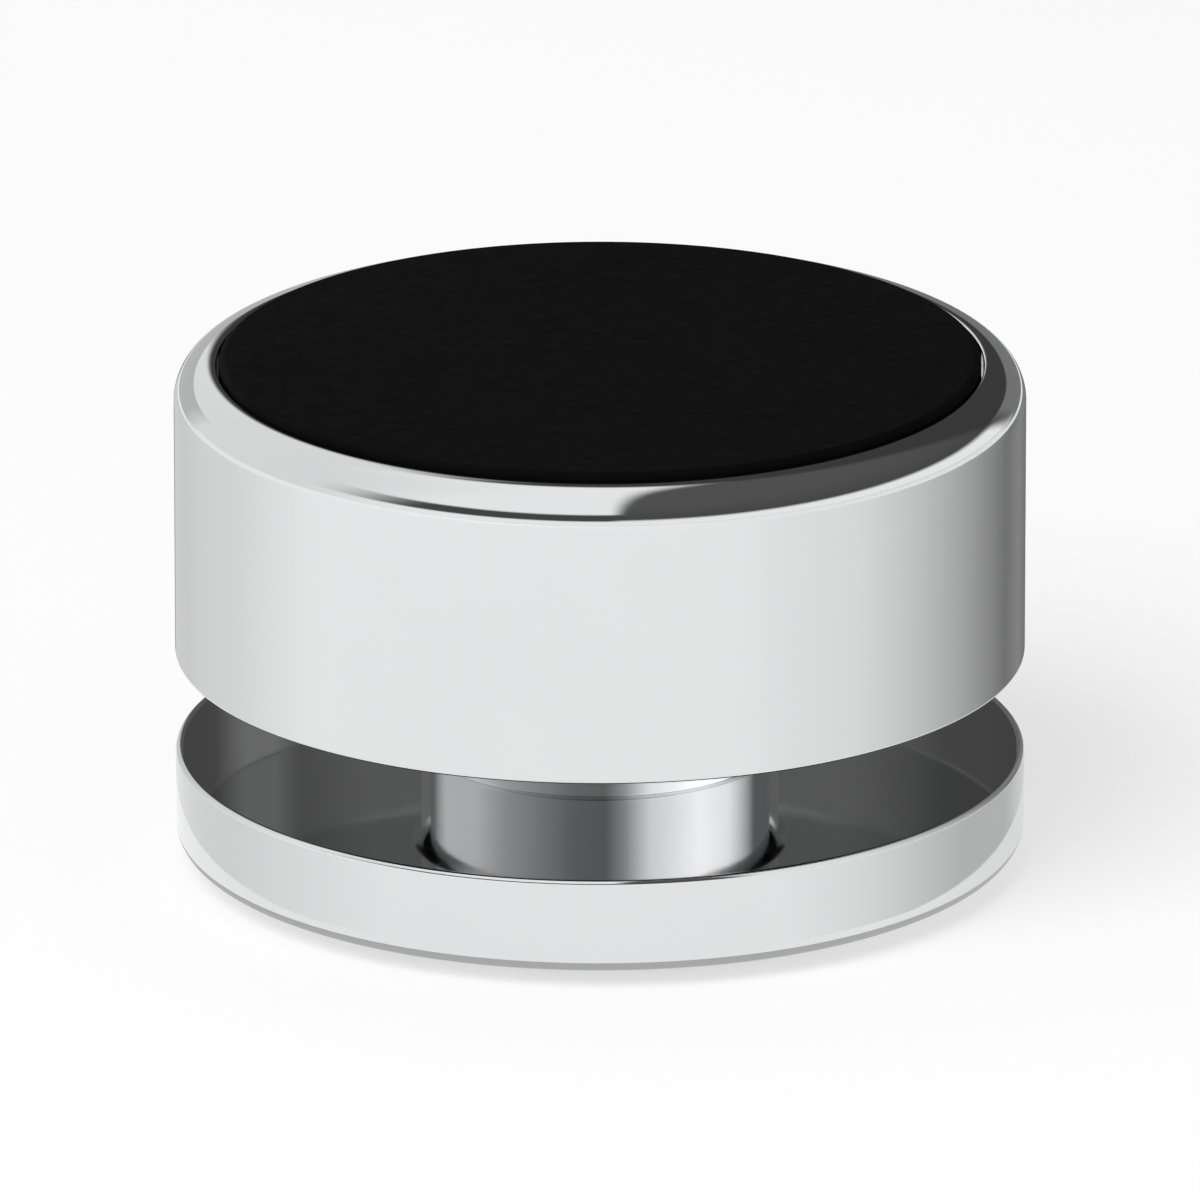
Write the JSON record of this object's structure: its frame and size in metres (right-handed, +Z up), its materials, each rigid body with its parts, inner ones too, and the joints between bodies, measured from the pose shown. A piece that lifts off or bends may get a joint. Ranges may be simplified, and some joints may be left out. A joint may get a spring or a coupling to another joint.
{
  "type": "portable laptop stand",
  "caption": "Round height-adjustable foot for propping up a laptop: a chromed cap with a soft top pad turns on a screw above a weighted base disc with a rubber foot pad.",
  "frame": {"origin": "centre of the foot pad's ground contact, under the middle of the round foot", "axes": "+Z up along the screw axis, from the desk to the laptop; +X along the laptop's rear edge towards the other foot; +Y from that edge towards the laptop's front"},
  "size_m": [0.034, 0.034, 0.0209],
  "materials": {
    "chrome_plate": "polished",
    "nut_brass": "machined",
    "foot_rubber": "matte",
    "black_silicone": "matte",
    "ring_rubber": "satin",
    "zinc_plated_steel": "satin",
    "black_steel": "satin",
    "adhesive_film": "matte"
  },
  "bodies": {
    "base": {"base_disc": "chrome_plate", "thread_nut": "nut_brass", "foot_pad": "foot_rubber", "foot_pad_film": "adhesive_film"},
    "ring": {"friction_ring": "ring_rubber"},
    "turning_cap": {"cap": "chrome_plate", "lift_stud": "zinc_plated_steel", "stop_washer": "zinc_plated_steel", "stop_screw": "black_steel", "top_pad": "black_silicone", "top_pad_film": "adhesive_film"}
  },
  "joints": [
    {"name": "cap_lift", "type": "slide", "parent": "base", "child": "ring", "axis": [0, 0, 1], "range_m": [-0.0039, 0.0009]},
    {"name": "cap_turn", "type": "hinge", "parent": "ring", "child": "turning_cap", "pos_m": [0, 0, 0], "axis": [0, 0, 1], "range_deg": [-702.5, 162.5]}
  ],
  "couplings": [
    {"joint": "cap_turn", "follows": "cap_lift", "rad_per_m": 3141.6}
  ]
}
